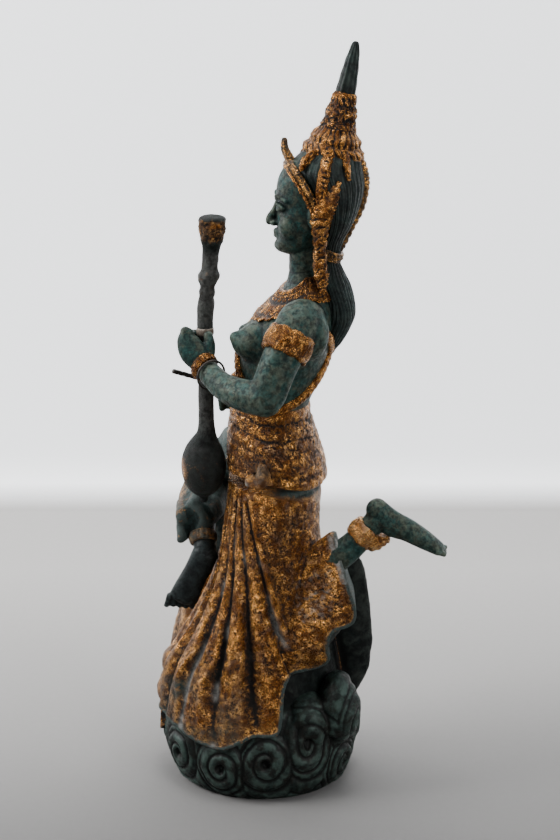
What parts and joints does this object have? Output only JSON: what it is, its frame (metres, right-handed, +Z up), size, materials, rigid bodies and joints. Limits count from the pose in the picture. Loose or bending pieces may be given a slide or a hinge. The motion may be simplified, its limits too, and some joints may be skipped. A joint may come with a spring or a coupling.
{
  "type": "musician statue",
  "caption": "Gilded bronze figure of a crowned musician who kneels on a cloud mound and bows a long-necked fiddle.",
  "frame": {"origin": "centre of the mound's underside, which rests on the table", "axes": "+Z up, the figure faces -Y, and its left side is +X"},
  "size_m": [0.1126, 0.1325, 0.3396],
  "materials": {
    "gilt_bronze": "worn gilding over dark brown bronze with grey-white chips on the ridges",
    "patina_bronze": "mottled blue-green patina, semi-matt",
    "dark_wire": "near-black tarnished wire, dull"
  },
  "bodies": {
    "root": {"figure": "gilt_bronze", "fiddle": "patina_bronze", "bow": "dark_wire", "wrist_ring": "dark_wire"}
  },
  "joints": []
}
